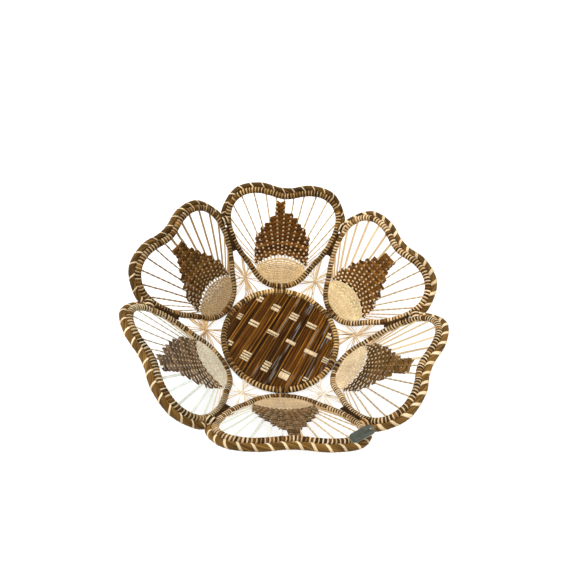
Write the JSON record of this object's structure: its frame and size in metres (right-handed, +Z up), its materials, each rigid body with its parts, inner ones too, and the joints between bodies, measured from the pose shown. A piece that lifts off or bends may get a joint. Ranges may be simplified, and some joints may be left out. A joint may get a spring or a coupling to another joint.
{
  "type": "palm basket",
  "caption": "Open flower-shaped palm basket: a round woven base ringed by outward-leaning heart-shaped petals with fan webs, joined at the sides by a bound rope rim.",
  "frame": {"origin": "on the floor under the middle of the round base, which is the bottom centre of the bounding box", "axes": "+Z up out of the bowl, +Y along the middle of the petal that is uppermost in the picture, +X to the right in the picture"},
  "size_m": [0.2754, 0.2688, 0.082],
  "materials": {
    "palm_wrap": "dry palm strip, satin",
    "palm_brown": "dyed palm strip, satin",
    "palm_cream": "natural palm fibre, satin",
    "rope": "dyed palm cord, satin",
    "thread": "palm fibre thread, matte",
    "lashing": "dyed fibre cord, matte",
    "steel": "dull grey metal, worn"
  },
  "bodies": {
    "root": {"base_ring": "palm_wrap", "base_mat": "palm_brown", "base_strands": "palm_cream", "rim_rope": "rope", "petal_frame_1": "palm_wrap", "petal_web_1": "palm_cream", "petal_leaf_1": "palm_brown", "star_1": "thread", "seam_1": "lashing", "foot_lashing_1": "lashing", "rim_tie_1": "lashing", "petal_frame_2": "palm_wrap", "petal_web_2": "palm_cream", "petal_leaf_2": "palm_brown", "star_2": "thread", "seam_2": "lashing", "foot_lashing_2": "lashing", "rim_tie_2": "lashing", "petal_frame_3": "palm_wrap", "petal_web_3": "palm_cream", "petal_leaf_3": "palm_brown", "star_3": "thread", "seam_3": "lashing", "foot_lashing_3": "lashing", "rim_tie_3": "lashing", "petal_frame_4": "palm_wrap", "petal_web_4": "palm_cream", "petal_leaf_4": "palm_brown", "star_4": "thread", "seam_4": "lashing", "foot_lashing_4": "lashing", "rim_tie_4": "lashing", "petal_frame_5": "palm_wrap", "petal_web_5": "palm_cream", "petal_leaf_5": "palm_brown", "star_5": "thread", "seam_5": "lashing", "foot_lashing_5": "lashing", "rim_tie_5": "lashing", "petal_frame_6": "palm_wrap", "petal_web_6": "palm_cream", "petal_leaf_6": "palm_brown", "star_6": "thread", "seam_6": "lashing", "foot_lashing_6": "lashing", "rim_tie_6": "lashing", "tag": "steel"}
  },
  "joints": []
}
